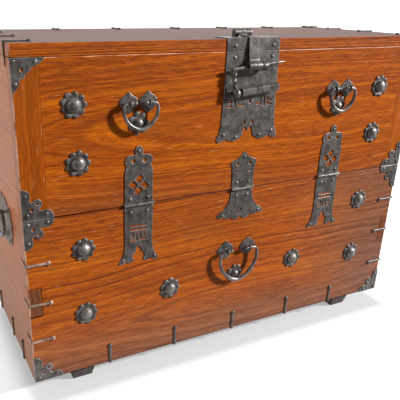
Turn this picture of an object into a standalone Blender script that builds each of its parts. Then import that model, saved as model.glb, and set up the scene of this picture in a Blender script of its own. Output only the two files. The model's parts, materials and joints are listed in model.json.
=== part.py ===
"""Bandaji: a Korean drop-front chest with forged iron fittings.

Metres, +Z up. The front faces -Y, the width runs along X and the runners stand on z = 0.
"""
import math

import bmesh
import bpy
from mathutils import Vector
from mathutils.geometry import delaunay_2d_cdt

MM = 0.001

# Overall sizes
WIDTH = 1.000            # top and lower front, end to end
DEPTH = 0.393            # front face to back face
RUNNER_H = 0.038         # floor to the underside of the carcass
LOWER_H = 0.376          # lower front panel
DOOR_H = 0.301           # drop door, with its gaps
TOP_T = 0.0235           # top panel

# Boards
SIDE_T = 0.026
FRONT_T = 0.025          # door and lower front panel
BACK_T = 0.018
BOTTOM_T = 0.018
FINGER_LO = 0.161        # side finger through the lower front, from the panel's foot
FINGER_HI = 0.224
CLAMP_W = 0.050          # end clamps of the door
TONGUE_T = 0.009
TONGUE_L = 0.014
SWING_CLEAR = 0.0006     # door's upper edge below the top as the door swings
RUNNER_W = 0.060
RUNNER_FOOT_W = 0.046
RUNNER_IN = 0.115        # runner centre from the end of the carcass
RUNNER_INSET = 0.012     # runner ends behind the front and back faces
RUNNER_RAKE = 0.010
FIT = 0.0003             # gap between pieces that touch

# Iron
PLATE_T = 0.0018
HINGE_IN = 0.2435        # big hinges from the ends
CENTRE_HINGE_X = 0.002
KNUCKLE_R = 0.0036
KNUCKLE_GAP = 0.0005
PIN_R = 0.0016
PIN_CLEAR = 0.0004
BIG_HINGE_HALF = 0.0335  # half length of the hinge knuckles
SMALL_HINGE_HALF = 0.0290
HINGE_PIN_END = 0.0008   # pin beyond the knuckles
BORE_OVERRUN = 0.0100    # cutters run past the ends of a bore

# Lock
LOCK_X = 0.0040          # middle of the lock plates
HASP_X = -0.0010         # middle of the hasp and its barrel
LOCK_PLATE_HALF = 0.0655
LOCK_FOOT_GAP = 0.0250   # feet of the lock plate above the tip of the centre hinge
LOCK_DROP_X = 0.0100     # drop-shaped holes beside the middle
LOCK_DROP_UP = 0.0410    # and above the feet
LOCK_DROP_R = 0.0032
LOCK_SLOT_UP = 0.0860    # oval hole in the middle, above the feet
LOCK_OVAL = 1.85         # height of these holes, of their width
ROD_DROP = 0.0535        # padlock rod below the top surface
ROD_OUT = 0.0140         # padlock rod in front of the wood
ROD_R = 0.0036
ROD_TAPER = 0.0220       # pointed end of the rod
ROD_ROUNDING = 0.0010
ROD_TILT = math.radians(5.3)
EYE_WALL = 0.0030
STAPLE_GAP = 0.0033      # staple eye beside the rolled end of the hasp
STAPLE_W = 0.0114
STAPLE_NECK_IN = 0.0020  # neck of the staple eye inside the eye's ends
STAPLE_NECK_HALF = 0.0040
HASP_W = 0.0265
HASP_SHIFT = 0.0030      # middle of the strap beside the middle of the rolled eye
HASP_TONGUE_W = 0.0170
HASP_ROLL_W = 0.0328
HASP_GROOVE_W = 0.0024   # groove between the two beads of the rolled eye
HASP_GROOVE = 0.0009
HASP_T = 0.0026
HASP_BEND = 0.0008       # cut corner of the strap's folds
HASP_NECK = 0.0080       # narrow tongue between the barrel and the strap
HASP_LAP = 0.0020        # overlap of the hasp's stretches
HASP_TUCK = 0.0002       # and how far one is set inside the other there
HASP_LEAN = 0.0045       # foot of the strap further out than its head
HASP_FOOT = 0.0040       # strap's foot above the rolled eye
EYE_START, EYE_END = 60, 224    # degrees of the rolled eye, open towards the door
EYE_NECK = 72            # where the strap's foot runs into it
BARREL_BACK = 0.0380     # hasp barrel behind the front face
BARREL_UP = 0.0105       # and above the top
BARREL_R = 0.0072
BARREL_HALF = 0.0215
HASP_PIN_R = 0.0025
HASP_PIN_END = 0.0010    # pin beyond the knuckles
FLANGE_TAIL = 0.0038     # lock top plate behind the barrel
PADLOCK_DROP = 0.0500    # body below the rod
PADLOCK_BODY = 0.0155    # square section
PADLOCK_BODY_L = 0.0925
BODY_CHAMFER = 0.0022
BAND_W = 0.0060          # raised bands round the body
BAND_H = 0.0006
BAND_AT = (0.0, 0.44, 0.56, 1.0)   # along the body
BODY_GAP = 0.0015        # between the body and the knob
SPRING_L = 0.0595        # spring bar inside the body
SPRING_T = 0.0052
SLOT_CLEAR = 0.0006
SLOT_END = 0.0030        # slot beyond the spring bar
ARM_W = 0.0090           # flat arm, twisted
ARM_T = 0.0050
ARM_TWIST = math.radians(360)
ARM_STEPS = 12
ARM_IN = 0.0068          # arm from the left end of the rod
ARM_LAP = 0.0020         # arm's end inside the knob
KNOB_IN = 0.0047         # knob from the arm
KNOB_R = 0.0095
ROD_L = 0.0555           # rod to the left of the hasp's middle
ROD_TIP = 0.0785         # and to its right

# Handles: half width of a post's plate, from there to the middle, drop and half width of the bail, its wire
DOOR_HANDLE_IN = 0.2420  # from the ends
DOOR_HANDLE_GAP = 0.0208  # striker above the tip of the big hinge
DOOR_HANDLE = dict(plate=0.0190, gap=0.0020, drop=0.0520, half=0.0370, wire=0.0037)
LOW_HANDLE_DOWN = 0.1500
LOW_HANDLE_X = 0.000
LOW_HANDLE = dict(plate=0.0213, gap=0.0097, drop=0.0790, half=0.0520, wire=0.0040)
STRIKER_UP = 0.0095      # middle of the striker above the lowest point of the bail
STRIKER_R = 0.0085
STRIKER_H = 0.0075
SIDE_HANDLE_Z = 0.3560   # middle of the back plate above the floor
SIDE_EYE_UP = 0.0270
SIDE_HANDLE = dict(eye=0.0520, drop=0.0680, half=0.0700, wire=0.0045)
EYE_OUT = 0.0135         # eye centre in front of the wood
EYE_RING_R = 0.0066
EYE_RING_W = 0.0060
EYE_CLEAR = 0.0007
EYE_SHARE = 0.80         # bail in its eye, of its wire
NECK_R = 0.0026
BEAD_R = 0.0046          # bead that keeps a bail in its eye
BEAD_GAP = 0.0016

# Bosses, left and right: in from the end or out from the middle, above the split or the carcass's foot
BOSS_WASHER_R = 0.0275
BOSS_PETALS = 9
BOSS_PETAL = (1.0, 0.95, 0.80, 0.95)   # reach of the rim from one petal's tip to the next
BOSS_DOME_R = 0.0138
BOSS_DOME_H = 0.0105
DOME_STEPS = 3
BOSS_IN = {"door_upper": (0.110, 0.116), "door_lower": (0.114, 0.118),
           "front_upper": (0.119, 0.125), "front_lower": (0.120, 0.123)}
BOSS_OUT = {"front_inner": (0.178, 0.172)}
BOSS_ABOVE_SPLIT = {"door_upper": (0.2136, 0.2090), "door_lower": (0.1015, 0.0950),
                    "front_upper": (-0.0814, -0.0823)}
BOSS_ABOVE_FOOT = {"front_lower": (0.1424, 0.1410), "front_inner": (0.1570, 0.1640)}
CORNER_LEG = 0.0620
CORNER_HOLE = 0.32       # of the leg, from both edges
CORNER_HOLE_R = 0.0040
CURL = 0.50              # middle of the curl, of the leg
CURL_R = 0.15
CURL_HOLE_R = 0.055
SMOOTH_BELOW = math.radians(35)

# Heights and depths that follow
SPLIT_Z = RUNNER_H + LOWER_H
UNDER_TOP_Z = SPLIT_Z + DOOR_H
TOP_Z = UNDER_TOP_Z + TOP_T
PROUD = max(ROD_OUT + KNOB_R, EYE_OUT + EYE_RING_R)
FRONT_Y = (PROUD - DEPTH) / 2          # front face, so that the whole part is centred on y = 0
BACK_Y = FRONT_Y + DEPTH
HALF = WIDTH / 2
RUNNER_X = HALF - RUNNER_IN
HINGE_X = HALF - HINGE_IN
DOOR_HANDLE_X = HALF - DOOR_HANDLE_IN
AXIS_OUT = KNUCKLE_R + KNUCKLE_GAP     # hinge axis in front of the wood
BORE_R = PIN_R + PIN_CLEAR
SWING_BACK = AXIS_OUT + FRONT_T        # back of the door behind the hinge axis
SWING_R = DOOR_H - SWING_CLEAR         # the door's upper edge stays inside this circle
DOOR_TOP_GAP = DOOR_H - math.sqrt(SWING_R ** 2 - AXIS_OUT ** 2)
DOOR_BACK_GAP = DOOR_H - math.sqrt(SWING_R ** 2 - SWING_BACK ** 2)
STAPLE_X0 = HASP_ROLL_W / 2 + STAPLE_GAP
EYE_BORE_R = ROD_R + (STAPLE_X0 + STAPLE_W) * math.tan(ROD_TILT) + FIT   # lets the rod lie askew
EYE_R = EYE_BORE_R + EYE_WALL
FLANGE_BACK = BARREL_BACK + BARREL_R + FLANGE_TAIL

WOOD = ("oiled_zelkova", (0.46, 0.19, 0.06, 1), 0.0, 0.45)
DARK_WOOD = ("dark_runner_wood", (0.07, 0.05, 0.04, 1), 0.0, 0.6)
IRON = ("forged_iron", (0.16, 0.16, 0.15, 1), 1.0, 0.45)


# Mesh helpers

def material(spec):
    name, colour, metallic, roughness = spec
    mat = bpy.data.materials.get(name)
    if mat is None:
        mat = bpy.data.materials.new(name)
        mat.use_nodes = True
        shader = mat.node_tree.nodes["Principled BSDF"]
        shader.inputs["Base Color"].default_value = colour
        shader.inputs["Metallic"].default_value = metallic
        shader.inputs["Roughness"].default_value = roughness
    return mat


def solid(name, verts, faces, spec):
    """One object from raw vertices and faces, with its faces turned out."""
    mesh = bpy.data.meshes.new(name)
    mesh.from_pydata([tuple(v) for v in verts], [], [tuple(f) for f in faces])
    bm = bmesh.new()
    bm.from_mesh(mesh)
    bmesh.ops.recalc_face_normals(bm, faces=bm.faces)
    bm.to_mesh(mesh)
    bm.free()
    obj = bpy.data.objects.new(name, mesh)
    bpy.context.scene.collection.objects.link(obj)
    mesh.materials.append(material(spec))
    return obj


def combine(obj, others, operation):
    """Boolean the others into obj, one after the other, and remove them."""
    for other in others:
        mod = obj.modifiers.new("join", "BOOLEAN")
        mod.operation = operation
        mod.solver = "EXACT"
        mod.object = other
        bpy.context.view_layer.update()
        graph = bpy.context.evaluated_depsgraph_get()
        mesh = bpy.data.meshes.new_from_object(obj.evaluated_get(graph))
        obj.modifiers.clear()
        old = obj.data
        obj.data = mesh
        mesh.name = obj.name
        bpy.data.meshes.remove(old)
        bpy.data.objects.remove(other)
    return obj


def join(obj, *others):
    return combine(obj, others, "UNION")


def cut(obj, *others):
    return combine(obj, others, "DIFFERENCE")


def front(x=0.0, z=0.0):
    """Place for fittings on the front: along +X, out of the wood, up."""
    return lambda a, out, up: (x + a, FRONT_Y - out, z + up)


def side(sign, y=0.0, z=0.0):
    """Place for fittings on a side: along Y, out of the wood, up."""
    return lambda a, out, up: (sign * (HALF + out), y + a, z + up)


def fill(loops):
    """Triangles over an outline with holes, as indices into the points of its loops."""
    flat = [p for loop in loops for p in loop]
    edges, start = [], 0
    for loop in loops:
        edges += [(start + i, start + (i + 1) % len(loop)) for i in range(len(loop))]
        start += len(loop)
    spots, _, triangles, source, _, _ = delaunay_2d_cdt([Vector((a / MM, u / MM)) for a, u in flat],
                                                        edges, [], 0, 1e-5)

    def inside(a, u):
        odd = False
        for i, j in edges:
            (a0, u0), (a1, u1) = flat[i], flat[j]
            if (u0 > u) != (u1 > u) and a < a0 + (u - u0) * (a1 - a0) / (u1 - u0):
                odd = not odd
        return odd

    kept = []
    for triangle in triangles:
        middle = sum((spots[i] for i in triangle), Vector((0, 0))) / 3 * MM
        if inside(middle.x, middle.y):
            kept.append(tuple(source[i][0] for i in triangle))
    return kept


def slab(name, outline, holes, lo, hi, place, spec=IRON):
    """Flat piece from an outline in (along, up), with holes, between two distances out of the wood."""
    loops = [outline] + list(holes)
    flat = [p for loop in loops for p in loop]
    verts = [place(a, lo, u) for a, u in flat] + [place(a, hi, u) for a, u in flat]
    n = len(flat)
    caps = fill(loops)
    faces = [tuple(t) for t in caps] + [tuple(n + i for i in reversed(t)) for t in caps]
    start = 0
    for loop in loops:
        count = len(loop)
        for i in range(count):
            j = (i + 1) % count
            faces.append((start + i, start + j, n + start + j, n + start + i))
        start += count
    return solid(name, verts, faces, spec)


def box(name, x, y, z, spec=WOOD):
    """Board between two x, two y and two z values."""
    verts = [(a, b, c) for a in x for b in y for c in z]
    faces = [(0, 1, 3, 2), (4, 6, 7, 5), (0, 4, 5, 1), (2, 3, 7, 6), (0, 2, 6, 4), (1, 5, 7, 3)]
    return solid(name, verts, faces, spec)


def rod_along(name, lo, hi, out, up, radius, place, segments=12):
    """Round bar along the fitting, between two distances along."""
    ring = [(radius * math.cos(t), radius * math.sin(t)) for t in turns(segments)]
    return loft(name, [[place(a, out + o, up + u) for o, u in ring] for a in (lo, hi)])


def rod_out(name, lo, hi, along, up, radius, place, segments=12):
    """Round bar standing out of the wood, between two distances out."""
    ring = [(radius * math.cos(t), radius * math.sin(t)) for t in turns(segments)]
    return loft(name, [[place(along + a, o, up + u) for a, u in ring] for o in (lo, hi)])


def turns(count):
    return [2 * math.pi * i / count for i in range(count)]


def loft(name, rings):
    """Skin over rings of points, closed at both ends."""
    n = len(rings[0])
    faces = []
    for start in range(0, n * (len(rings) - 1), n):
        faces += [(start + k, start + (k + 1) % n, start + n + (k + 1) % n, start + n + k) for k in range(n)]
    last = n * (len(rings) - 1)
    faces += [tuple(range(n)), tuple(range(last + n - 1, last - 1, -1))]
    return solid(name, [p for ring in rings for p in ring], faces, IRON)


def sweep(name, path, radii, place, segments=8):
    """Bar of changing thickness along a path of (along, up), all at one distance out."""
    rings = []
    for i, (a, u, out) in enumerate(path):
        before, after = path[max(i - 1, 0)], path[min(i + 1, len(path) - 1)]
        run = Vector((after[0] - before[0], after[1] - before[1])).normalized()
        spokes = [(radii[i] * math.cos(t), radii[i] * math.sin(t)) for t in turns(segments)]
        rings.append([place(a - run.y * w, out + d, u + run.x * w) for w, d in spokes])
    return loft(name, rings)


def mirrored(half):
    """Closed outline from its right half, listed from one end of the middle line to the other, in mm."""
    right = [(a * MM, u * MM) for a, u in half]
    left = [(-a, u) for a, u in reversed(right) if abs(a) > 1e-9]
    return right + left


def circle(a, u, radius, count=12, stretch=1.0):
    return [(a + radius * math.cos(t), u + radius * stretch * math.sin(t)) for t in turns(count)]


def flip(loop):
    return [(-a, u) for a, u in reversed(loop)]


def points(*pairs):
    return [(a * MM, u * MM) for a, u in pairs]


# Carcass

def build_carcass():
    inner = HALF - SIDE_T
    face, behind = FRONT_Y, FRONT_Y + FRONT_T + FIT
    foot, split, under = RUNNER_H, SPLIT_Z, UNDER_TOP_Z - FIT
    lo, hi = foot + FINGER_LO, foot + FINGER_HI

    box("top_panel", (-HALF, HALF), (face, BACK_Y), (UNDER_TOP_Z, TOP_Z))

    # Side boards: the finger reaches through the lower front to its face
    for name, sign in (("left_side_panel", -1), ("right_side_panel", 1)):
        outline = [(behind, foot), (BACK_Y, foot), (BACK_Y, under), (behind, under),
                   (behind, hi - FIT), (face, hi - FIT), (face, lo + FIT), (behind, lo + FIT)]
        slab(name, outline, [], inner, HALF, lambda a, out, up, s=sign: (s * out, a, up), WOOD)

    notch = HALF - SIDE_T - FIT
    outline = [(-HALF, foot), (HALF, foot), (HALF, lo), (notch, lo), (notch, hi), (HALF, hi),
               (HALF, split), (-HALF, split), (-HALF, hi), (-notch, hi), (-notch, lo), (-HALF, lo)]
    slab("lower_front_panel", outline, [], 0.0, -FRONT_T, front(), WOOD)

    clear = inner - FIT
    box("back_panel", (-clear, clear), (BACK_Y - BACK_T, BACK_Y), (foot, under))
    box("bottom_panel", (-clear, clear), (behind, BACK_Y - BACK_T - FIT), (foot, foot + BOTTOM_T))

    # Runners narrow towards the floor and their ends are raked
    top = RUNNER_H - FIT
    for name, sign in (("left_runner", -1), ("right_runner", 1)):
        x = sign * RUNNER_X
        ends = (FRONT_Y + RUNNER_INSET, BACK_Y - RUNNER_INSET)
        verts = []
        for width, rake, z in ((RUNNER_FOOT_W, RUNNER_RAKE, 0.0), (RUNNER_W, 0.0, top)):
            for y in (ends[0] + rake, ends[1] - rake):
                verts += [(x - width / 2, y, z), (x + width / 2, y, z)]
        faces = [(0, 2, 3, 1), (4, 5, 7, 6), (0, 1, 5, 4), (2, 6, 7, 3), (0, 4, 6, 2), (1, 3, 7, 5)]
        solid(name, verts, faces, DARK_WOOD)


# Door: a panel with a tongue at each end, and grooved end clamps

def build_door():
    lo, hi = SPLIT_Z + FIT, UNDER_TOP_Z - DOOR_TOP_GAP
    edge = HALF - CLAMP_W
    middle = -FRONT_T / 2

    # The upper edge slopes down to the back, so that the door clears the top as it swings
    slope = (DOOR_BACK_GAP - DOOR_TOP_GAP) / FRONT_T

    def flat(a, out, up):
        return (a, FRONT_Y - up, out + up * slope if out == hi else out)

    tongue = (middle - TONGUE_T / 2, middle + TONGUE_T / 2)
    tip = edge + TONGUE_L
    outline = [(-edge, -FRONT_T), (edge, -FRONT_T), (edge, tongue[0]), (tip, tongue[0]), (tip, tongue[1]),
               (edge, tongue[1]), (edge, 0.0), (-edge, 0.0), (-edge, tongue[1]), (-tip, tongue[1]),
               (-tip, tongue[0]), (-edge, tongue[0])]
    slab("door_panel", outline, [], lo, hi, flat, WOOD)

    inner, floor = edge + FIT, tip + FIT
    groove = (tongue[0] - FIT, tongue[1] + FIT)
    outline = [(inner, -FRONT_T), (HALF, -FRONT_T), (HALF, 0.0), (inner, 0.0), (inner, groove[1]),
               (floor, groove[1]), (floor, groove[0]), (inner, groove[0])]
    slab("door_right_clamp", outline, [], lo, hi, flat, WOOD)
    slab("door_left_clamp", flip(outline), [], lo, hi, flat, WOOD)


# Hinges

BIG_UPPER = [(0, 124), (5, 122.5), (8.5, 117), (8.5, 112), (6.5, 107.5), (11, 105.5), (18, 106), (25, 104),
             (29.5, 99), (31, 93), (29.5, 88), (26.8, 84.5), (29.5, 77), (31.3, 69), (31.5, 6)]
BIG_LOWER = [(32.5, -6), (32, -60), (31.5, -92), (34, -108), (39, -120), (47, -130), (44, -134.5),
             (36, -133.5), (29, -129), (24, -133), (17, -133.5), (11, -129), (15, -121), (13.5, -113),
             (5.5, -107.5), (7, -101), (0, -95)]
SMALL_UPPER = [(0, 86), (10, 76), (20, 69.5), (34, 65), (34, 59.5), (30.5, 52), (29, 40), (28.5, 6)]
SMALL_LOWER = [(28.5, -6), (29.5, -18), (33, -32), (43, -46), (60, -57), (62.5, -63), (56, -68), (46, -65),
               (40, -69.5), (32, -70), (26, -66), (20, -73), (12, -75), (5, -71), (0, -64)]

# Round holes of the leaves in mm: from the middle, above the axis, radius
BIG_UPPER_HOLE = (12.7, 93.5, 4.8)
SMALL_UPPER_HOLES = [(16.5, 59, 4.4), (16.5, 41, 2.6)]
SMALL_LOWER_HOLE = (0, -52, 3.2)
OVAL = 1.5               # height of an oval hole, of its width
DIAMOND_UP, DIAMOND_HALF, DIAMOND_BAR = 42, 18.6, 3.8
STEPS_UP = -46


def leaf_outline(half, upper, tabs):
    """Leaf outline whose edge at the axis is stepped: tabs run on to the axis, the rest stops clear."""
    clear = KNUCKLE_R + KNUCKLE_GAP
    sign = 1 if upper else -1
    loop = mirrored(half)
    edge = []
    for lo, hi in tabs:
        edge += [(lo, sign * clear), (lo, 0.0), (hi, 0.0), (hi, sign * clear)]
    if not upper:
        # The lower outline starts at the right of the axis, so the stepped edge closes it from the left
        return loop + edge
    count = len(half)
    return loop[:count] + edge[::-1] + loop[count:]


def diamond_fret(up, half_side, bar):
    """Four openings around a cross, in a square set on its corner."""
    inner, near, far = bar / 2, half_side - bar, half_side
    cell = [(inner, inner), (far, inner), (far, near), (inner, near)]
    loops = []
    for quarter in range(4):
        turn = math.pi / 4 + quarter * math.pi / 2
        c, s = math.cos(turn), math.sin(turn)
        loops.append([(c * a - s * u, up + s * a + c * u) for a, u in cell])
    return loops


def step_fret(up):
    """Two long slots over a mirrored pair of hooked slots."""
    loops = [points((-20, up), (20, up), (20, up - 4.5), (-20, up - 4.5)),
             points((-20, up - 9), (20, up - 9), (20, up - 13.5), (-20, up - 13.5))]
    z = up - 18
    foot = points((2.6, z), (6.4, z), (6.4, z - 15), (20, z - 15), (20, z - 19), (2.6, z - 19))
    hook = points((10.2, z), (14, z), (14, z - 6.5), (20, z - 6.5), (20, z - 10.5), (10.2, z - 10.5))
    return loops + [foot, flip(foot), hook, flip(hook)]


def build_hinge(name, x, half, upper, lower, upper_holes, lower_holes):
    """Two leaves with interleaved knuckles, and their pin. The door carries the outer knuckles."""
    place = front(x, SPLIT_Z)
    third = half / 3
    face = (FIT, FIT + PLATE_T)
    outer = [(-half, -third - KNUCKLE_GAP), (third + KNUCKLE_GAP, half)]
    middle = [(-third, third)]
    leaves = (("upper_leaf", leaf_outline(upper, True, outer), upper_holes, outer),
              ("lower_leaf", leaf_outline(lower, False, middle), lower_holes, middle))
    past = half + BORE_OVERRUN
    for suffix, outline, holes, spans in leaves:
        leaf = slab(f"{name}_{suffix}", outline, holes, *face, place)
        join(leaf, *[rod_along("knuckle", lo, hi, AXIS_OUT, 0.0, KNUCKLE_R, place, 16) for lo, hi in spans])
        cut(leaf, rod_along("bore", -past, past, AXIS_OUT, 0.0, BORE_R, place, 12))
    end = half + HINGE_PIN_END
    rod_along(f"{name}_pin", -end, end, AXIS_OUT, 0.0, PIN_R, place, 12)


def build_hinges():
    eye = circle(*(v * MM for v in BIG_UPPER_HOLE), 10)
    big_upper = [eye, flip(eye)] + diamond_fret(DIAMOND_UP * MM, DIAMOND_HALF * MM, DIAMOND_BAR * MM)
    big_lower = step_fret(STEPS_UP)
    small_upper = [circle(*(v * MM for v in hole), 8) for hole in SMALL_UPPER_HOLES]
    small_upper += [flip(hole) for hole in small_upper]
    small_lower = [circle(*(v * MM for v in SMALL_LOWER_HOLE), 8, OVAL)]
    for name, x in (("left_hinge", -HINGE_X), ("right_hinge", HINGE_X)):
        build_hinge(name, x, BIG_HINGE_HALF, BIG_UPPER, BIG_LOWER, big_upper, big_lower)
    build_hinge("centre_hinge", CENTRE_HINGE_X, SMALL_HINGE_HALF, SMALL_UPPER, SMALL_LOWER, small_upper,
                small_lower)


# Lock

def strip(path, thickness):
    """Outline of a bent strip of even thickness along a path."""
    left, right = [], []
    for i, p in enumerate(path):
        before, after = path[max(i - 1, 0)], path[min(i + 1, len(path) - 1)]
        ins = Vector((p[0] - before[0], p[1] - before[1]))
        outs = Vector((after[0] - p[0], after[1] - p[1]))
        ins = ins.normalized() if ins.length > 0 else outs.normalized()
        outs = outs.normalized() if outs.length > 0 else ins
        normal = Vector((-ins.y - outs.y, ins.x + outs.x)).normalized()
        reach = thickness / 2 / max(normal.dot(Vector((-ins.y, ins.x))), 0.5)
        left.append((p[0] + normal.x * reach, p[1] + normal.y * reach))
        right.append((p[0] - normal.x * reach, p[1] - normal.y * reach))
    return left + right[::-1]


def arc(centre, radius, start, end, steps):
    """Points on an arc from start to end, in degrees."""
    values = [math.radians(start + (end - start) * i / steps) for i in range(steps + 1)]
    return [(centre[0] + radius * math.cos(t), centre[1] + radius * math.sin(t)) for t in values]


def across(a, out, up):
    """Profiles of the lock are drawn in (behind the front face, above the top) and run along X."""
    return (HASP_X + out, FRONT_Y + a, TOP_Z + up)


def build_lock_plate():
    half = LOCK_PLATE_HALF / MM
    top = (-DOOR_TOP_GAP - FIT) / MM
    low = (LOCK_FOOT_GAP - DOOR_H) / MM + SMALL_UPPER[0][1]
    outline = mirrored([(half, top), (half + 0.5, -50), (half + 3.5, low + 40), (half + 7, low + 22),
                        (half + 13.5, low + 6), (half + 9.5, low), (half, low + 2.5), (half - 9.5, low + 9),
                        (half - 17.5, low + 3.5), (half - 29.5, low + 1), (half - 41.5, low + 4),
                        (15, low + 12), (12, low + 24), (9, low + 32.5), (4, low + 31), (0, low + 22)])
    z = low + 94
    a = half - 38.5
    hook = points((a, z), (a + 3.5, z), (a + 3.5, z - 17), (a - 10, z - 17), (a - 10, z - 13), (a, z - 13))
    a = half - 29.5
    bar = points((a, z + 2), (a + 3.5, z + 2), (a + 3.5, z - 20), (a, z - 20))
    a = half - 20.5
    foot = points((a, z), (a + 3.5, z), (a + 3.5, z - 6), (a + 13, z - 6), (a + 13, z - 10),
                  (a + 3.5, z - 10), (a + 3.5, z - 15), (a + 13, z - 15), (a + 13, z - 19), (a, z - 19))
    drop = circle(LOCK_DROP_X, low * MM + LOCK_DROP_UP, LOCK_DROP_R, 8, LOCK_OVAL)
    holes = [hook, flip(hook), bar, flip(bar), foot, flip(foot), drop, flip(drop),
             circle(0, low * MM + LOCK_SLOT_UP, LOCK_DROP_R, 8, LOCK_OVAL)]
    place = front(LOCK_X, UNDER_TOP_Z)
    plate = slab("lock_plate", outline, holes, FIT, FIT + PLATE_T, place)

    # Staple eye for the padlock rod, standing on the plate at the right of the hasp
    up = TOP_T - ROD_DROP
    lo = HASP_X - LOCK_X + STAPLE_X0
    hi = lo + STAPLE_W
    z = UNDER_TOP_Z + up
    neck = box("neck", (LOCK_X + lo + STAPLE_NECK_IN, LOCK_X + hi - STAPLE_NECK_IN),
               (FRONT_Y - ROD_OUT, FRONT_Y - FIT - PLATE_T / 2),
               (z - STAPLE_NECK_HALF, z + STAPLE_NECK_HALF), IRON)
    join(plate, neck, rod_along("eye", lo, hi, ROD_OUT, up, EYE_R, place, 16))
    cut(plate, rod_along("bore", lo - BORE_OVERRUN, hi + BORE_OVERRUN, ROD_OUT, up, EYE_BORE_R, place, 16))


def build_lock_top_plate():
    """Plate folded over the front edge of the top, with the two fixed knuckles of the hasp."""
    lo, hi = FIT, FIT + PLATE_T
    profile = [(-lo, -TOP_T + FIT), (-lo, lo), (FLANGE_BACK, lo), (FLANGE_BACK, hi), (-hi, hi),
               (-hi, -TOP_T + FIT)]
    shift = LOCK_X - HASP_X
    plate = slab("lock_top_plate", profile, [], shift - LOCK_PLATE_HALF, shift + LOCK_PLATE_HALF, across)
    tongue = HASP_TONGUE_W / 2 + KNUCKLE_GAP
    centre = (BARREL_BACK, BARREL_UP)
    for start, end in ((-BARREL_HALF, -tongue), (tongue, BARREL_HALF)):
        knuckle = [(BARREL_BACK, (lo + hi) / 2), (BARREL_BACK + BARREL_R, (lo + hi) / 2)]
        knuckle += arc(centre, BARREL_R, 0, 270, 12)
        join(plate, slab("knuckle", knuckle, [], start, end, across))
    past, end = BARREL_HALF + BORE_OVERRUN, BARREL_HALF + HASP_PIN_END
    cut(plate, slab("bore", circle(*centre, HASP_PIN_R + FIT), [], -past, past, across))
    slab("hasp_pin", circle(*centre, HASP_PIN_R), [], -end, end, across)


def build_hasp():
    """Strap from the barrel on the top, over the front edge, down to a rolled eye on the padlock rod.

    The lock closes a loop from the top to the door. The loop is opened at the strap's two ends: the
    rear knuckle is open behind and the rolled eye is open towards the door.
    """
    over = FIT + PLATE_T + FIT + HASP_T / 2
    hook_r = BARREL_R - HASP_T / 2
    rise = BARREL_BACK - hook_r
    tongue = [(rise - HASP_NECK - HASP_LAP, over), (rise - 1.5 * HASP_BEND, over + 0.5 * HASP_BEND),
              (rise, over + 2.5 * HASP_BEND)]
    tongue += arc((BARREL_BACK, BARREL_UP), hook_r, 180, 62, 8)
    thin, half = HASP_T - 2 * HASP_TUCK, HASP_TONGUE_W / 2
    hasp = slab("hasp", strip(tongue, thin), [], -half, half, across)

    roll = (-ROD_OUT, -ROD_DROP)
    fold = Vector((-over, over - HASP_BEND))
    foot = Vector((-over - HASP_LEAN, roll[1] + EYE_R + HASP_FOOT))
    strap = [(rise - HASP_NECK, over), (HASP_BEND - over, over), tuple(fold), tuple(foot)]
    lo, hi = HASP_SHIFT - HASP_W / 2, HASP_SHIFT + HASP_W / 2
    join(hasp, slab("strap", strip(strap, HASP_T), [], lo, hi, across))

    # The strap's foot runs into the wall of the rolled eye, which has two beads and a groove
    start = foot + (fold - foot).normalized() * HASP_LAP
    neck = [tuple(start), tuple(foot), arc(roll, EYE_BORE_R + EYE_WALL / 2, EYE_START, EYE_NECK, 1)[-1]]
    join(hasp, slab("neck", strip(neck, thin), [], lo + HASP_TUCK, hi - HASP_TUCK, across))
    half, groove = HASP_ROLL_W / 2, HASP_GROOVE_W / 2
    bead = (EYE_BORE_R, EYE_WALL, EYE_END)
    dip = (EYE_BORE_R + HASP_TUCK, EYE_WALL - HASP_GROOVE, EYE_END - 4)
    for lo, hi, (bore, wall, end) in ((-half, -groove, bead), (groove, half, bead),
                                      (-groove - FIT, groove + FIT, dip)):
        eye = arc(roll, bore + wall / 2, EYE_START, end, 12)
        join(hasp, slab("eye", strip(eye, wall), [], lo, hi, across))


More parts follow.
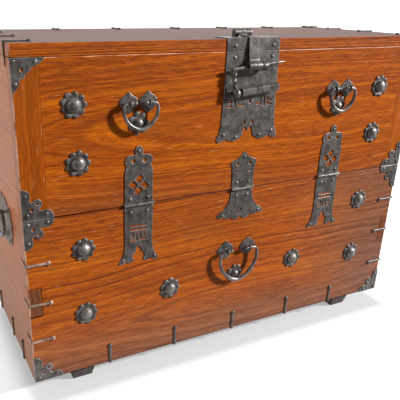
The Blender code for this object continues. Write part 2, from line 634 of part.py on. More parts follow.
def build_padlock():
    """Long padlock hung by its rod; it tilts because the eyes are loose."""
    c, s = math.cos(ROD_TILT), math.sin(ROD_TILT)

    def place(a, out, up):
        return (HASP_X + c * a - s * up, FRONT_Y - ROD_OUT - out, TOP_Z - ROD_DROP + s * a + c * up)

    def lathe(name, rings, up=0.0, segments=12):
        return loft(name, [[place(a, r * math.cos(t), up + r * math.sin(t)) for t in turns(segments)]
                           for a, r in rings])

    def square_bar(name, lo, hi, half):
        corners = [(-half, -half), (half, -half), (half, half), (-half, half)]
        return loft(name, [[place(a, out, up - PADLOCK_DROP) for out, up in corners] for a in (lo, hi)])

    left = -ROD_L
    arm_x = left + ARM_IN
    knob_x = arm_x + KNOB_IN
    body_x = knob_x + KNOB_R + BODY_GAP
    bolt = lathe("padlock_bolt", [(left, ROD_R * 0.8), (left + ROD_ROUNDING, ROD_R),
                                  (ROD_TIP - ROD_TAPER, ROD_R), (ROD_TIP, ROD_R * 0.25)])

    # Arm: a flat bar twisted once between the rod and the knob
    bars = []
    for i in range(ARM_STEPS + 1):
        turn = ARM_TWIST * i / ARM_STEPS
        up = (ARM_LAP - PADLOCK_DROP) * i / ARM_STEPS
        corners = [Vector((a * ARM_W / 2, o * ARM_T / 2)) for a, o in ((-1, -1), (1, -1), (1, 1), (-1, 1))]
        ct, st = math.cos(turn), math.sin(turn)
        bars.append([place(arm_x + ct * v.x - st * v.y, st * v.x + ct * v.y, up) for v in corners])
    rings = [(knob_x + KNOB_R * math.cos(math.radians(t)), KNOB_R * math.sin(math.radians(t)))
             for t in range(172, 0, -27)]
    join(bolt, loft("arm", bars), lathe("knob", rings, -PADLOCK_DROP),
         square_bar("bar", knob_x, body_x + SPRING_L, SPRING_T / 2))

    # Body: a square bar with cut corners and raised bands
    spans = []
    for share in BAND_AT:
        lo = body_x + share * (PADLOCK_BODY_L - BAND_W)
        spans += [(lo, BAND_H), (lo + BAND_W, BAND_H)]
    sections = []
    for i, (a, rise) in enumerate(spans):
        low, high = (a, 0.0), (a, rise)
        sections += [low, high] if i % 2 == 0 else [high, low]
    sections = sections[1:-1]
    half, flat = PADLOCK_BODY / 2, PADLOCK_BODY / 2 - BODY_CHAMFER
    octagon = [(half, -flat), (half, flat), (flat, half), (-flat, half), (-half, flat), (-half, -flat),
               (-flat, -half), (flat, -half)]
    body = loft("padlock_body", [[place(a, out * (1 + rise / half), up * (1 + rise / half) - PADLOCK_DROP)
                                  for out, up in octagon] for a, rise in sections])
    slot_half = SPRING_T / 2 + SLOT_CLEAR
    cut(body, square_bar("slot", body_x - BORE_OVERRUN, body_x + SPRING_L + SLOT_END, slot_half))


# Handles

POST_PLATE = [(0, 21), (6, 15), (14, 10), (19, 4), (19, -3), (15, -9), (9, -15), (3, -20), (0, -20.5)]
STRIKER_PLATE = [(0, 27), (5, 19), (9, 13), (17, 12), (23, 7), (22, 0), (15, -3), (18, -11), (13, -18),
                 (6, -17), (0, -24)]


def bail(name, place, eye, drop, half, wire, out):
    """Bail with a bead at each end inside its eye, thickest at the bottom."""
    inner = eye - EYE_RING_W / 2 - BEAD_GAP
    start = inner - 2 * BEAD_R
    right = [(start, 0), (start + 0.25 * BEAD_R, 0), (start + BEAD_R, 0), (start + 1.75 * BEAD_R, 0),
             (inner, 0), (eye + EYE_RING_W / 2 + FIT, 0)]
    thick = [BEAD_R * 0.25, BEAD_R * 0.66, BEAD_R, BEAD_R * 0.66, wire * EYE_SHARE, wire * EYE_SHARE]
    curve = [(0.90, -0.035), (0.985, -0.16), (1.0, -0.30), (0.95, -0.46), (0.82, -0.64), (0.62, -0.80),
             (0.38, -0.92), (0.15, -0.985), (0.0, -1.0)]
    for k, (a, u) in enumerate(curve):
        right.append((a * half, u * drop))
        thick.append(wire * (EYE_SHARE + 0.38 * (k + 1) / len(curve)))
    path = [(a, u, out) for a, u in right]
    path += [(-a, u, o) for a, u, o in path[-2::-1]]
    return sweep(name, path, thick + thick[-2::-1], place)


def eye_post(plate, place, along, up, wire):
    """Eye for a bail on a plate: a neck out of the wood and a ring along the fitting."""
    lo, hi = along - EYE_RING_W / 2, along + EYE_RING_W / 2
    join(plate, rod_out("neck", PLATE_T / 2, EYE_OUT, along, up, NECK_R, place, 10),
         rod_along("ring", lo, hi, EYE_OUT, up, EYE_RING_R, place, 14))
    bore_r = wire * EYE_SHARE + EYE_CLEAR
    cut(plate, rod_along("bore", lo - EYE_RING_W, hi + EYE_RING_W, EYE_OUT, up, bore_r, place, 12))


def dome_rings(radius, height, steps):
    return [(radius * math.cos(math.pi / 2 * i / steps), height * math.sin(math.pi / 2 * i / steps))
            for i in range(steps)]


def domed_plate(name, place, outline, dome_r, dome_h):
    """Flat plate with a hammered dome in its middle, one closed body."""
    count = len(outline)
    verts = [place(a, FIT, u) for a, u in outline] + [place(a, FIT + PLATE_T, u) for a, u in outline]
    angles = [math.atan2(u, a) for a, u in outline]
    rings = dome_rings(dome_r, dome_h, DOME_STEPS)
    for r, h in rings:
        verts += [place(r * math.cos(t), FIT + PLATE_T + h, r * math.sin(t)) for t in angles]
    verts.append(place(0.0, FIT + PLATE_T + dome_h, 0.0))
    faces = [tuple(range(count))]
    for level in range(len(rings) + 1):
        low, high = level * count, (level + 1) * count
        for i in range(count):
            j = (i + 1) % count
            faces.append((low + i, low + j, high + j, high + i))
    top = (len(rings) + 1) * count
    faces += [(top + i, top + (i + 1) % count, len(verts) - 1) for i in range(count)]
    return solid(name, verts, faces, IRON)


def build_front_handle(name, x, z, size):
    place = front(x, z)
    eye = size["plate"] + size["gap"]
    scale = size["plate"] / max(a * MM for a, _ in POST_PLATE)
    for suffix, sign in (("left_post", -1), ("right_post", 1)):
        outline = [(sign * eye + a * scale, u * scale) for a, u in mirrored(POST_PLATE)]
        plate = slab(f"{name}_{suffix}", outline, [], FIT, FIT + PLATE_T, place)
        eye_post(plate, place, sign * eye, 0.0, size["wire"])
    bail(f"{name}_bail", place, eye, size["drop"], size["half"], size["wire"], EYE_OUT)
    rest = front(x, z - size["drop"] + STRIKER_UP)
    domed_plate(f"{name}_striker", rest, mirrored(STRIKER_PLATE), STRIKER_R, STRIKER_H)


BACK_PLATE = [(0, 56), (14, 50), (30, 55), (46, 51), (58, 42), (76, 44), (88, 34), (86, 22), (96, 13),
              (98, 0), (96, -13), (86, -22), (88, -34), (76, -44), (58, -42), (46, -51), (30, -55),
              (14, -50), (0, -56)]


def build_side_handle(name, sign):
    middle_y = FRONT_Y + DEPTH / 2
    place = side(sign, middle_y, SIDE_HANDLE_Z + SIDE_EYE_UP)
    outline = [(a, u - SIDE_EYE_UP) for a, u in mirrored(BACK_PLATE)]
    plate = slab(f"{name}_back_plate", outline, [], FIT, FIT + PLATE_T, place)
    for end in (-1, 1):
        eye_post(plate, place, end * SIDE_HANDLE["eye"], 0.0, SIDE_HANDLE["wire"])
    bail(f"{name}_bail", place, SIDE_HANDLE["eye"], SIDE_HANDLE["drop"], SIDE_HANDLE["half"],
         SIDE_HANDLE["wire"], EYE_OUT)


def door_handle_z():
    """Eyes of the door handles: their strikers keep clear of the big hinges."""
    striker_foot = (BIG_UPPER[0][1] - STRIKER_PLATE[-1][1]) * MM
    return SPLIT_Z + striker_foot + DOOR_HANDLE_GAP - STRIKER_UP + DOOR_HANDLE["drop"]


def build_handles():
    build_front_handle("door_left_handle", -DOOR_HANDLE_X, door_handle_z(), DOOR_HANDLE)
    build_front_handle("door_right_handle", DOOR_HANDLE_X, door_handle_z(), DOOR_HANDLE)
    build_front_handle("front_handle", LOW_HANDLE_X, SPLIT_Z - LOW_HANDLE_DOWN, LOW_HANDLE)
    build_side_handle("left_handle", -1)
    build_side_handle("right_handle", 1)


# Bosses and corner plates

def build_bosses():
    outline = []
    count = BOSS_PETALS * len(BOSS_PETAL)
    for i, t in enumerate(turns(count)):
        r = BOSS_WASHER_R * BOSS_PETAL[i % len(BOSS_PETAL)]
        outline.append((r * math.cos(t), r * math.sin(t)))
    places = {row: [HALF - inset for inset in insets] for row, insets in BOSS_IN.items()} | BOSS_OUT
    heights = {row: [SPLIT_Z + z for z in values] for row, values in BOSS_ABOVE_SPLIT.items()}
    heights |= {row: [RUNNER_H + z for z in values] for row, values in BOSS_ABOVE_FOOT.items()}
    for row in places:
        for hand, sign, x, z in zip(("left", "right"), (-1, 1), places[row], heights[row]):
            domed_plate(f"{row}_{hand}_boss", front(sign * x, z), outline, BOSS_DOME_R, BOSS_DOME_H)


# Half outlines of the corner plates, of the leg, from the tip of one leg to the diagonal
SERRATED = [(1.0, 0), (0.95, 0.06), (0.86, 0.145), (0.76, 0.21), (0.64, 0.24), (0.56, 0.275), (0.575, 0.33),
            (0.54, 0.385), (0.47, 0.405), (0.43, 0.43)]
CURLED = [(1.0, 0), (1.0, 0.10), (0.95, 0.20), (0.86, 0.27), (0.74, 0.29), (0.62, 0.265), (0.55, 0.31)]


def build_corner_plates():
    """Serrated plates at the door's upper corners, and plates with a curl at the others."""
    door_lo, door_hi = SPLIT_Z + FIT, UNDER_TOP_Z - DOOR_TOP_GAP
    curl = CURLED + arc((CURL, CURL), CURL_R, -62, 45, 4)
    eye = circle(CORNER_HOLE, CORNER_HOLE, CORNER_HOLE_R / CORNER_LEG, 8)
    ring = circle(CURL, CURL, CURL_HOLE_R, 6)
    rows = (("door_upper", door_hi, -1, SERRATED, [eye]),
            ("door_lower", door_lo + KNUCKLE_GAP, 1, curl, [eye, ring]),
            ("front_upper", SPLIT_Z - KNUCKLE_GAP, -1, curl, [eye, ring]),
            ("front_lower", RUNNER_H, 1, curl, [eye, ring]))
    for row, z, rise, half, holes in rows:
        loop = [(0, 0)] + half + [(u, a) for a, u in reversed(half[:-1])]
        for hand, sign in (("left", -1), ("right", 1)):
            outline, *gaps = [[(-sign * a * CORNER_LEG, rise * u * CORNER_LEG) for a, u in path]
                              for path in [loop] + holes]
            slab(f"{row}_{hand}_corner_plate", outline, gaps, FIT, FIT + PLATE_T, front(sign * HALF, z))


# Joints: an empty on each axis carries the pieces that move with it

def carry(name, axis_point, pieces, parent=None):
    axis = bpy.data.objects.new(name, None)
    bpy.context.scene.collection.objects.link(axis)
    axis.parent = parent
    axis.location = Vector(axis_point) - (parent.matrix_world.translation if parent else Vector())
    bpy.context.view_layer.update()
    for piece in pieces:
        piece.parent = axis
        piece.location = -axis.matrix_world.translation
    return axis


def carry_moving_pieces():
    pieces = {obj.name: obj for obj in bpy.data.objects}
    on_door = [obj for name, obj in pieces.items() if name == "lock_plate" or name.endswith("upper_leaf")
               or (name.startswith("door_") and not name.endswith("_bail"))]
    door = carry("door_axis", (0.0, FRONT_Y - AXIS_OUT, SPLIT_Z), on_door)
    carry("hasp_axis", across(BARREL_BACK, 0.0, BARREL_UP), [pieces["hasp"]], door)
    rod = across(-ROD_OUT, 0.0, -ROD_DROP)
    bolt = carry("padlock_bolt_axis", rod, [pieces["padlock_bolt"]], door)
    carry("padlock_body_axis", rod, [pieces["padlock_body"]], bolt)

    eye_y = FRONT_Y - EYE_OUT
    low_z = SPLIT_Z - LOW_HANDLE_DOWN
    side_x, side_y = HALF + EYE_OUT, FRONT_Y + DEPTH / 2
    side_z = SIDE_HANDLE_Z + SIDE_EYE_UP
    for name, point, parent in (("door_left_handle", (-DOOR_HANDLE_X, eye_y, door_handle_z()), door),
                                ("door_right_handle", (DOOR_HANDLE_X, eye_y, door_handle_z()), door),
                                ("front_handle", (LOW_HANDLE_X, eye_y, low_z), None),
                                ("left_handle", (-side_x, side_y, side_z), None),
                                ("right_handle", (side_x, side_y, side_z), None)):
        carry(f"{name}_axis", point, [pieces[f"{name}_bail"]], parent)


def main():
    for obj in list(bpy.data.objects):
        bpy.data.objects.remove(obj)
    build_carcass()
    build_door()
    build_hinges()
    build_lock_plate()
    build_lock_top_plate()
    build_hasp()
    build_padlock()
    build_handles()
    build_bosses()
    build_corner_plates()
    for obj in bpy.data.objects:
        obj.data.shade_smooth()
        obj.data.set_sharp_from_angle(angle=SMOOTH_BELOW)
    carry_moving_pieces()


main()
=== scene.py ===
"""Looks of a bandaji, a Korean drop-front chest: wood and iron finishes, forged details, stage and camera.

Metres, +Z up, the front faces -Y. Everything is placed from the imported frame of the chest.
"""
import json
import math
from collections import defaultdict

import bmesh
import bpy
from bpy.props import FloatProperty, FloatVectorProperty, PointerProperty
from bpy.types import Operator, Panel, PropertyGroup
from mathutils import Matrix, Vector, noise


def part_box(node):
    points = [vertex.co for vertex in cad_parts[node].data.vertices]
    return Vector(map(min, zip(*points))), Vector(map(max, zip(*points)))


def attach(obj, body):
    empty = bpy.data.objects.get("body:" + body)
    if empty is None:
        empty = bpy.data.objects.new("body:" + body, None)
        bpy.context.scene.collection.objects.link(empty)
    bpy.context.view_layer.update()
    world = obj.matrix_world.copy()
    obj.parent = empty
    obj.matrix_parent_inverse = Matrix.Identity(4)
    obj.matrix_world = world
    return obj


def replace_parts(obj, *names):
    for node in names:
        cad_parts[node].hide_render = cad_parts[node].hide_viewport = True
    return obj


bl_info = {
    "name": "Bandaji chest looks",
    "version": (1, 0, 0),
    "blender": (4, 5, 0),
    "location": "View3D > Sidebar > Chest",
    "description": "Finishes, forged details, stage and camera of a Korean drop-front chest",
    "category": "Object",
}

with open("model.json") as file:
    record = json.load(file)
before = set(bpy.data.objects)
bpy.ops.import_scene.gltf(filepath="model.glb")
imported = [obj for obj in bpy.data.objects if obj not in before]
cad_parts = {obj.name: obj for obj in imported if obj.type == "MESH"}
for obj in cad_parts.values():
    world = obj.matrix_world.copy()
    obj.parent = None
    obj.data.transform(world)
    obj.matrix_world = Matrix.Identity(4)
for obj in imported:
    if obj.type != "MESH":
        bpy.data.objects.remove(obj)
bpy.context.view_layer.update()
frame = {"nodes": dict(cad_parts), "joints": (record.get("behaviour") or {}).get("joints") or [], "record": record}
NODES = frame["nodes"]
MM = 0.001

# Places read from the frame
TOP_LO, TOP_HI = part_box("top_panel")
LOWER_LO, LOWER_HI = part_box("lower_front_panel")
HALF = TOP_HI.x
FRONT_Y, BACK_Y = TOP_LO.y, TOP_HI.y
FOOT_Z, SPLIT_Z, UNDER_TOP_Z, TOP_Z = LOWER_LO.z, LOWER_HI.z, TOP_LO.z, TOP_HI.z
DOOR_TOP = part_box("door_panel")[1].z
PLATE_OUT = FRONT_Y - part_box("front_upper_left_corner_plate")[0].y
AXIS_OF = {joint["child"]: Vector(joint["pos_m"]) for joint in frame["joints"] if "pos_m" in joint}
BODY_OF = {node: body for body, nodes in frame["record"]["behaviour"]["bodies"].items() for node in nodes}

# Directions out of the faces of the chest
OUT_FRONT, OUT_BACK = Vector((0, -1, 0)), Vector((0, 1, 0))
OUT_LEFT, OUT_RIGHT = Vector((-1, 0, 0)), Vector((1, 0, 0))
OUT_TOP, OUT_BOTTOM = Vector((0, 0, 1)), Vector((0, 0, -1))


def middle(node):
    """Middle of a node's box."""
    lo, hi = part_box(node)
    return (lo + hi) / 2


# Sizes and colours that a user would change

def colour(name, description, value):
    return FloatVectorProperty(name=name, description=description, subtype="COLOR", size=4,
                               min=0.0, max=1.0, default=(*value, 1.0))


def length(name, description, value):
    return FloatProperty(name=name, description=description, unit="LENGTH", min=0.0, default=value)


class ChestFinish(PropertyGroup):
    """Colours and edges of the wood and the iron."""

    wood_deep: colour("Deep wood", "Dark bands of the growth rings", (0.090, 0.017, 0.0035))
    wood_mid: colour("Middle wood", "Most of the boards", (0.300, 0.061, 0.0030))
    wood_light: colour("Light wood", "Pale bands of the growth rings", (0.53, 0.140, 0.006))
    wood_worn: colour("Worn wood", "Rubbed corners of the boards", (0.72, 0.40, 0.27))
    # Colour the boards grow darker to, towards their foot and their right end
    film: colour("Film", "Dirt low on the front", (0.115, 0.055, 0.035))
    # Grey of the top: dust, and a painted reflection of the bright surroundings
    dust: colour("Dust", "Grey bloom on the top", (0.096, 0.061, 0.050))
    wood_end: colour("End grain", "Ends of the boards", (0.105, 0.036, 0.016))
    runner: colour("Runner wood", "Blackened runners", (0.030, 0.022, 0.017))
    iron_dark: colour("Dark iron", "Blackened plates", (0.076, 0.070, 0.067))
    iron_brown: colour("Brown iron", "Old rust in the plates", (0.074, 0.048, 0.035))
    iron_worn: colour("Worn iron", "Rubbed edges and raised places", (0.50, 0.46, 0.42))
    # Coppery iron made pale: a painted highlight on the front left staples, a painted sheen on the side handle
    # plates
    copper: colour("Staples", "Pale, coppery staples", (0.32, 0.22, 0.165))
    board_edge: length("Board edge", "Rounding of the boards' edges", 0.0011)
    joint_edge: length("Joint edge", "Rounding of the boards' edges in the door's joints", 0.0003)
    seam: length("Seam", "Rounding of the lower front under the door", 0.0019)
    crest_edge: length("Door crest", "Rounding of the door's worn upper edge", 0.0014)
    corner_edge: length("Corner edge", "Rounding of the chest's front corners", 0.0022)
    plate_edge: length("Plate edge", "Rounding of the iron plates' edges", 0.00055)


class ChestFittings(PropertyGroup):
    """Sizes of the nails and staples."""

    nail_radius: length("Nail radius", "Head of a nail", 0.0040)
    nail_height: length("Nail height", "Head of a nail above its plate", 0.0022)
    staple_width: length("Staple width", "Forged bar of a corner staple", 0.0060)
    staple_thick: length("Staple thickness", "Bar above the wood", 0.0036)
    staple_leg: length("Staple leg", "Length of each leg", 0.045)


class ChestStage(PropertyGroup):
    """Camera and lights."""

    lens: FloatProperty(name="Lens", description="Focal length on a 36 mm sensor", unit="CAMERA",
                        default=48.94)
    eye: FloatVectorProperty(name="Camera", description="Place of the camera", subtype="TRANSLATION",
                             size=3, default=(-0.69780, -1.15239, 0.81475))
    key: FloatProperty(name="Key", description="Soft light from the right", unit="POWER", default=4700.0)
    fill: FloatProperty(name="Fill", description="Large light from the left", unit="POWER", default=19.0)
    above: FloatProperty(name="Above", description="Large light overhead", unit="POWER", default=38.0)
    room: FloatProperty(name="Room", description="Strength of the white surroundings", default=0.06)


# Shader maths

class Value:
    """A node's output that takes part in Python arithmetic; each step adds a Math node."""

    def __init__(self, finish, socket):
        self.finish = finish
        self.socket = socket

    def out(self, name):
        """Another output of the same node."""
        return Value(self.finish, self.socket.node.outputs[name])

    def math(self, operation, *others):
        return self.finish.math(operation, self, *others)

    def __add__(self, other):
        return self.math("ADD", other)

    __radd__ = __add__

    def __sub__(self, other):
        return self.math("SUBTRACT", other)

    def __rsub__(self, other):
        return self.finish.math("SUBTRACT", other, self)

    def __mul__(self, other):
        return self.math("MULTIPLY", other)

    __rmul__ = __mul__

    def __pow__(self, other):
        return self.math("POWER", other)

    def __abs__(self):
        return self.math("ABSOLUTE")

    def step(self, lo, hi):
        """0 below lo, 1 above hi and smooth between them."""
        return self.finish.add("MapRange", {"interpolation_type": "SMOOTHSTEP"},
                               {"Value": self, "From Min": lo, "From Max": hi})


def new_material(name):
    material = bpy.data.materials.new(name)
    material.use_nodes = True
    return material


class Finish:
    """The nodes of a material or of the world, in the making."""

    def __init__(self, owner):
        self.owner = owner
        self.tree = owner.node_tree

    def connect(self, node, inputs):
        for key, value in inputs.items():
            if isinstance(value, Value):
                self.tree.links.new(value.socket, node.inputs[key])
            else:
                node.inputs[key].default_value = value

    def add(self, kind, settings=None, inputs=None, output=0):
        """A node of that kind: its settings first, then the values or links of its inputs."""
        node = self.tree.nodes.new("ShaderNode" + kind)
        for key, value in (settings or {}).items():
            setattr(node, key, value)
        self.connect(node, inputs or {})
        return Value(self, node.outputs[output])

    def math(self, operation, *values):
        return self.add("Math", {"operation": operation}, dict(enumerate(values)))

    def vector(self, x, y, z):
        return self.add("CombineXYZ", inputs={"X": x, "Y": y, "Z": z})

    def noise(self, vector, detail=2.0, roughness=0.5, scale=1.0):
        return self.add("TexNoise", inputs={"Vector": vector, "Scale": scale, "Detail": detail,
                                            "Roughness": roughness}, output="Fac")

    def bands(self, value, detail=3.0, roughness=0.55):
        """Uneven bands along one value."""
        return self.add("TexNoise", {"noise_dimensions": "1D"},
                        {"W": value, "Scale": 1.0, "Detail": detail, "Roughness": roughness}, output="Fac")

    def mix(self, factor, a, b):
        """Colour a where the factor is 0, colour b where it is 1."""
        return self.add("Mix", {"data_type": "RGBA"}, {0: factor, 6: a, 7: b}, output=2)

    def bump(self, height, strength, distance):
        return self.add("Bump", inputs={"Strength": strength, "Distance": distance, "Height": height},
                        output="Normal")

    def surface(self, inputs):
        self.connect(self.tree.nodes["Principled BSDF"], inputs)
        return self.owner


def shade(rgba, gain, warm=1.0):
    """A colour made lighter or darker, and warmer where warm is above 1."""
    r, g, b = rgba[:3]
    return (min(r * gain, 1), min(g * gain / warm ** 0.5, 1), min(b * gain / warm, 1), 1)


# Finishes

# Axes along the grain, up the face and inwards
ALONG_X, ALONG_X_FLAT, ALONG_Y, ALONG_Z = "XZY", "XYZ", "YZX", "ZXY"

RUNNER_DUST = (0.16, 0.12, 0.09, 1)
FLOOR_GREYS = ((0.37, 0.385, 0.39, 1), (0.39, 0.405, 0.41, 1))
# Grey of the painted contact shadow round the chest
FLOOR_PAINTED_SHADOW = (0.10, 0.10, 0.105, 1)
CARD_BROWN = (0.10, 0.09, 0.08, 1)
BLACK, WHITE = (0, 0, 0, 1), (1, 1, 1, 1)


def zelkova(name, look, run, heart, seed, gain=1.0, warm=1.0, polish=1.13, dust_and_sheen=0.0, calm=0.0, film=None):
    """Oiled zelkova: growth rings drawn out along the grain, fibre, pores, blotches and end grain.

    heart is the middle of the rings, along the grain and up the face. dust_and_sheen is the share of grey dust
    and of painted reflection on a top, and calm evens out the grain. darkening is the share by which the board
    grows darker, the heights where that is full and where it ends, and its share at the right end.
    """
    f = Finish(new_material(name))
    xyz = f.add("SeparateXYZ", inputs={0: f.add("TexCoord", output="Object")})
    along, rise, depth = (xyz.out(axis) for axis in run)
    along = along + seed

    def drawn_out(across, slow, fast, detail, roughness=0.5):
        """Noise stretched along the grain: slow along it and fast across it, in changes to the metre."""
        return f.noise(f.vector(along * slow, across * fast, depth * fast), detail, roughness)

    warp = drawn_out(rise, 1.8, 4.0, 2.0) - 0.5
    curl = drawn_out(rise, 9.0, 26.0, 3.0) - 0.5
    up = rise + warp * 0.055 + curl * 0.008
    ring = (((along - seed - heart[0]) * 0.10) ** 2.0 + (up - heart[1]) ** 2.0 + depth * depth) ** 0.5
    rings = f.bands(ring * 170.0 + seed, 4.0, 0.66)
    lines = f.bands(ring * 240.0 + seed * 3.0, 2.0, 0.6).step(0.56, 0.66)
    fibre = drawn_out(up, 26.0, 440.0, 4.0, 0.74)
    streak = drawn_out(up, 5.0, 170.0, 3.0, 0.64)
    pores = drawn_out(up, 46.0, 560.0, 2.0).step(0.52, 0.64)
    scuff_and_glint = drawn_out(up, 30.0, 380.0, 1.0).step(0.695, 0.80)
    blotch = drawn_out(rise, 2.6, 8.0, 4.0, 0.6)
    gold = f.noise(f.vector(along * 2.2 + 7.0, up * 11.0, depth * 11.0), 3.0, 0.55)

    deep, mid, light = (shade(c, gain, warm) for c in (look.wood_deep, look.wood_mid, look.wood_light))
    tone = rings * 0.36 + fibre * 0.48 + streak * 0.16
    base = f.mix(tone.step(0.35, 0.54), shade(deep, 1.65), mid)
    base = f.mix(tone.step(0.49, 0.69), base, light)
    base = f.mix(gold.step(0.48, 0.74) * 0.45, base, light)
    base = f.mix(blotch.step(0.50, 0.80) * 0.45, base, shade(deep, 1.5))
    base = f.mix(lines * 0.50, base, deep)
    base = f.mix(pores * 0.42, base, shade(deep, 0.8))
    if calm:
        base = f.mix(calm, base, shade(mid, 1.15))
    # Pale scuffs of rubbed finish, and painted glints
    base = f.mix(scuff_and_glint * 0.30, base, look.wood_worn)

    # Darker towards the foot of the board and towards its right end
    if film:
        amount, foot, clear, right = film
        darker_share = (1.0 - rise.step(foot, clear)).math("MAXIMUM", xyz.out("X").step(0.10, 0.48) * right)
        grey = f.mix(tone.step(0.38, 0.64), shade(look.film, 0.55), shade(look.film, 1.6))
        base = f.mix(darker_share * (0.5 + blotch) * amount, base, grey)

    # Sideways faces are shinier and paler, a painted sheen; faces looking right are deeper, painted shade
    normal = f.add("SeparateXYZ", inputs={0: f.add("TexCoord", output="Normal")})
    sideways = abs(normal.out("X")).step(0.80, 0.95)
    base = f.mix(sideways * 0.30, base, shade(light, 1.15))
    base = f.mix(normal.out("X").step(0.80, 0.95) * 0.6, base, shade(deep, 1.3))
    # The top is grey with dust and with a painted reflection
    if dust_and_sheen:
        base = f.mix(normal.out("Z").step(0.80, 0.95) * dust_and_sheen, base, look.dust)

    # Ends of the boards: the rings are cut across
    ends = abs(normal.out(run[0])).step(0.80, 0.95)
    cut = f.bands(ring * 420.0, 2.0, 0.6)
    cross = f.mix(cut.step(0.38, 0.62), shade(look.wood_end, 0.65), shade(look.wood_end, 1.7))
    base = f.mix(ends * (1.0 - sideways * 0.75), base, cross)

    height = fibre * 0.5 + streak * 0.3 - pores * 0.8 - lines * 0.3
    rough = 0.40 + fibre * 0.16 + blotch * 0.06
    return f.surface({"Base Color": base, "Roughness": rough, "IOR": polish,
                      "Coat Weight": sideways * 0.38, "Coat Roughness": 0.38,
                      "Normal": f.bump(height, 0.16, 0.0011)})


def worn_corner(name, look, under, tint, dark, turned=0.0):
    """Corners and edges of the boards rubbed pale by hands, and the edges of the seam under the door painted dark
    as shade.

    under, tint and dark are the colours of the wood, of the rubbed places and of the pores; on the lower front's
    edges all three are painted shade. turned is the share of plain wood on the parts that look sideways.
    """
    f = Finish(new_material(name))
    place = f.add("TexCoord", output="Object")
    rub_and_shade = f.noise(place, 4.0, 0.6, 26.0)
    grain = f.noise(place, 3.0, 0.6, 260.0)
    base = f.mix(rub_and_shade.step(0.36, 0.62), under, tint)
    base = f.mix(grain.step(0.52, 0.72) * 0.5, base, dark)
    if turned:
        normal = f.add("SeparateXYZ", inputs={0: f.add("TexCoord", output="Normal")})
        base = f.mix(abs(normal.out("X")).step(0.25, 0.55) * turned, base, look.wood_light)
    return f.surface({"Base Color": base, "Roughness": 0.36 + grain * 0.2, "IOR": 1.4 - 0.3 * turned,
                      "Normal": f.bump(grain, 0.2, 0.001)})


def blackened_runner(name, look):
    """Runners: dark wood with a dusty, coarse grain along the depth."""
    f = Finish(new_material(name))
    xyz = f.add("SeparateXYZ", inputs={0: f.add("TexCoord", output="Object")})
    x, y, z = (xyz.out(axis) for axis in "XYZ")
    grain = f.noise(f.vector(x * 160.0, y * 7.0, z * 160.0), 3.0, 0.6)
    dust = f.noise(f.vector(x * 18.0, y * 9.0, z * 26.0), 3.0, 0.6)
    base = f.mix(grain.step(0.35, 0.68), shade(look.runner, 0.6), shade(look.runner, 2.0))
    base = f.mix(dust.step(0.56, 0.76) * 0.4, base, RUNNER_DUST)
    return f.surface({"Base Color": base, "Roughness": 0.55 + grain * 0.25,
                      "Normal": f.bump(grain, 0.35, 0.0015)})


def forged_iron(name, look, gain=1.0, brown=0.55, rough=0.40, worn=0.16, metal=None, mottle=1.0):
    """Blackened iron: hammer marks, brown patches, fine pitting and rubbed high places."""
    f = Finish(new_material(name))
    metal = metal or look.iron_dark
    place = f.add("TexCoord", output="Object")
    dents = f.noise(place, 2.0, 0.5, 70.0)
    patch = f.noise(place, 5.0, 0.66, 48.0)
    rust = f.noise(place, 3.0, 0.65, 110.0)
    pits = f.noise(place, 2.0, 0.6, 560.0)
    base = f.mix(patch.step(0.36, 0.66), shade(metal, gain * (1 - 0.50 * mottle)),
                 shade(metal, gain * (1 + 0.42 * mottle)))
    base = f.mix(rust.step(0.46, 0.70) * brown, base, shade(look.iron_brown, gain))
    base = f.mix(dents.step(0.55, 0.80) * worn, base, look.iron_worn)
    base = f.mix(pits.step(0.60, 0.78) * 0.5, base, shade(metal, 0.30 * gain))
    height = dents + patch * 0.4 + pits * 0.08
    return f.surface({"Base Color": base, "Metallic": 0.45 - rust.step(0.46, 0.70) * (0.3 * brown),
                      "Roughness": rough + patch * 0.18 + pits * 0.08 - 0.09,
                      "Normal": f.bump(height, 0.40, 0.0026)})


